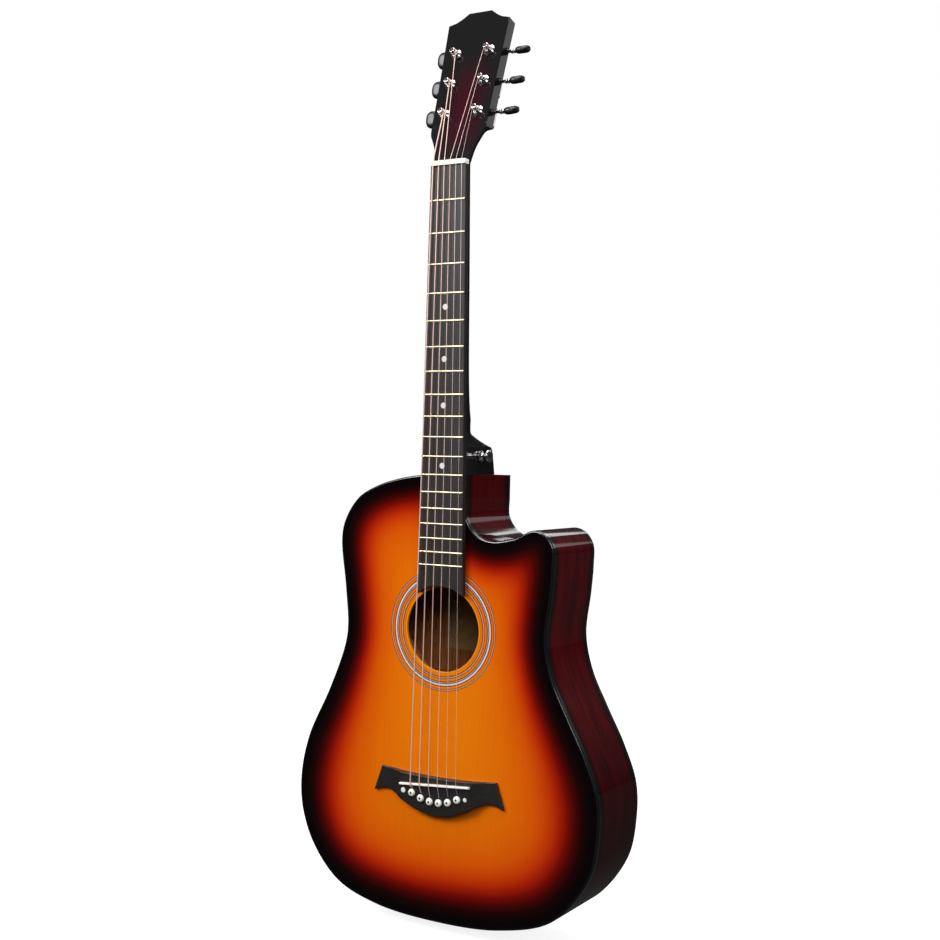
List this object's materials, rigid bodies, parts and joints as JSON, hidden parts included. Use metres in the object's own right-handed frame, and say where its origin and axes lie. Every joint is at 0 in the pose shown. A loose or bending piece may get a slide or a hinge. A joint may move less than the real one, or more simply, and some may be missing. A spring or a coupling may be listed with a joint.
{
  "type": "acoustic guitar",
  "caption": "Steel-string acoustic guitar with a hollow cutaway body, round soundhole, fretted neck, tilted headstock and worm-geared tuning machines.",
  "frame": {"origin": "on the centre line at the nut's front face, level with the crowns of the frets, where a wall hanger's yoke holds the neck under the headstock", "axes": "+Z along the neck toward the headstock, -Y out of the soundboard toward the player's listener, +X toward the treble side and the cutaway"},
  "size_m": [0.3667, 0.108, 0.9786],
  "materials": {
    "sunburst_top": "gloss lacquer, sunburst from amber to black",
    "wine_lacquer": "dark wine-red gloss lacquer",
    "black_lacquer": "black gloss lacquer with a wine tint",
    "black_binding": "gloss",
    "inner_wood": "bare",
    "fingerboard_wood": "satin, with brass frets",
    "bridge_wood": "satin black",
    "white_plastic": "satin ivory white",
    "chrome": "polished",
    "steel": "plain",
    "bronze_winding": "wound",
    "plain_steel": "bright",
    "paper": "matt paper, blank"
  },
  "bodies": {
    "guitar": {"back_binding": "black_binding", "back_braces": "inner_wood", "back_lining_bass": "inner_wood", "back_lining_treble": "inner_wood", "back_plate": "wine_lacquer", "bridge": "bridge_wood", "bridge_pin_1": "white_plastic", "bridge_pin_2": "white_plastic", "bridge_pin_3": "white_plastic", "bridge_pin_4": "white_plastic", "bridge_pin_5": "white_plastic", "bridge_pin_6": "white_plastic", "bridge_plate": "inner_wood", "fingerboard": "fingerboard_wood", "label": "paper", "neck": "black_lacquer", "neck_block": "inner_wood", "nut": "white_plastic", "saddle": "white_plastic", "sides": "wine_lacquer", "soundboard": "sunburst_top", "strap_button_heel": "chrome", "strap_button_tail": "chrome", "string_1": "plain_steel", "string_2": "plain_steel", "string_3": "bronze_winding", "string_4": "bronze_winding", "string_5": "bronze_winding", "string_6": "bronze_winding", "tail_block": "inner_wood", "top_binding": "black_binding", "top_braces": "inner_wood", "top_lining_bass": "inner_wood", "top_lining_treble": "inner_wood", "truss_rod": "steel", "tuner_bushing_1": "chrome", "tuner_bushing_2": "chrome", "tuner_bushing_3": "chrome", "tuner_bushing_4": "chrome", "tuner_bushing_5": "chrome", "tuner_bushing_6": "chrome", "tuner_housing_1": "chrome", "tuner_housing_2": "chrome", "tuner_housing_3": "chrome", "tuner_housing_4": "chrome", "tuner_housing_5": "chrome", "tuner_housing_6": "chrome"},
    "post_1": {"tuner_post_1": "chrome"},
    "key_1": {"tuner_key_1": "chrome"},
    "post_2": {"tuner_post_2": "chrome"},
    "key_2": {"tuner_key_2": "chrome"},
    "post_3": {"tuner_post_3": "chrome"},
    "key_3": {"tuner_key_3": "chrome"},
    "post_4": {"tuner_post_4": "chrome"},
    "key_4": {"tuner_key_4": "chrome"},
    "post_5": {"tuner_post_5": "chrome"},
    "key_5": {"tuner_key_5": "chrome"},
    "post_6": {"tuner_post_6": "chrome"},
    "key_6": {"tuner_key_6": "chrome"},
    "truss_rod_nut": {"truss_rod_nut": "steel"}
  },
  "joints": [
    {"name": "key_1_turn", "type": "hinge", "parent": "guitar", "child": "key_1", "pos_m": [-0.0205, 0.04557, 0.06098], "axis": [1, 0, 0], "continuous": true},
    {"name": "post_1_turn", "type": "hinge", "parent": "guitar", "child": "post_1", "pos_m": [-0.0205, 0.02445, 0.05877], "axis": [0, -0.9548, 0.2974], "continuous": true},
    {"name": "key_2_turn", "type": "hinge", "parent": "guitar", "child": "key_2", "pos_m": [-0.0205, 0.05627, 0.09535], "axis": [1, 0, 0], "continuous": true},
    {"name": "post_2_turn", "type": "hinge", "parent": "guitar", "child": "post_2", "pos_m": [-0.0205, 0.03516, 0.09314], "axis": [0, -0.9548, 0.2974], "continuous": true},
    {"name": "key_3_turn", "type": "hinge", "parent": "guitar", "child": "key_3", "pos_m": [-0.0205, 0.06698, 0.12972], "axis": [1, 0, 0], "continuous": true},
    {"name": "post_3_turn", "type": "hinge", "parent": "guitar", "child": "post_3", "pos_m": [-0.0205, 0.04586, 0.12751], "axis": [0, -0.9548, 0.2974], "continuous": true},
    {"name": "key_4_turn", "type": "hinge", "parent": "guitar", "child": "key_4", "pos_m": [0.0205, 0.06698, 0.12972], "axis": [1, 0, 0], "continuous": true},
    {"name": "post_4_turn", "type": "hinge", "parent": "guitar", "child": "post_4", "pos_m": [0.0205, 0.04586, 0.12751], "axis": [0, -0.9548, 0.2974], "continuous": true},
    {"name": "key_5_turn", "type": "hinge", "parent": "guitar", "child": "key_5", "pos_m": [0.0205, 0.05627, 0.09535], "axis": [1, 0, 0], "continuous": true},
    {"name": "post_5_turn", "type": "hinge", "parent": "guitar", "child": "post_5", "pos_m": [0.0205, 0.03516, 0.09314], "axis": [0, -0.9548, 0.2974], "continuous": true},
    {"name": "key_6_turn", "type": "hinge", "parent": "guitar", "child": "key_6", "pos_m": [0.0205, 0.04557, 0.06098], "axis": [1, 0, 0], "continuous": true},
    {"name": "post_6_turn", "type": "hinge", "parent": "guitar", "child": "post_6", "pos_m": [0.0205, 0.02445, 0.05877], "axis": [0, -0.9548, 0.2974], "continuous": true},
    {"name": "truss_rod_nut_turn", "type": "hinge", "parent": "guitar", "child": "truss_rod_nut", "pos_m": [0, 0.0155, -0.3755], "axis": [0, 0, -1], "range_deg": [-360, 360]}
  ],
  "couplings": [
    {"joint": "post_1_turn", "follows": "key_1_turn", "ratio": 0.071429},
    {"joint": "post_2_turn", "follows": "key_2_turn", "ratio": 0.071429},
    {"joint": "post_3_turn", "follows": "key_3_turn", "ratio": 0.071429},
    {"joint": "post_4_turn", "follows": "key_4_turn", "ratio": 0.071429},
    {"joint": "post_5_turn", "follows": "key_5_turn", "ratio": 0.071429},
    {"joint": "post_6_turn", "follows": "key_6_turn", "ratio": 0.071429}
  ]
}
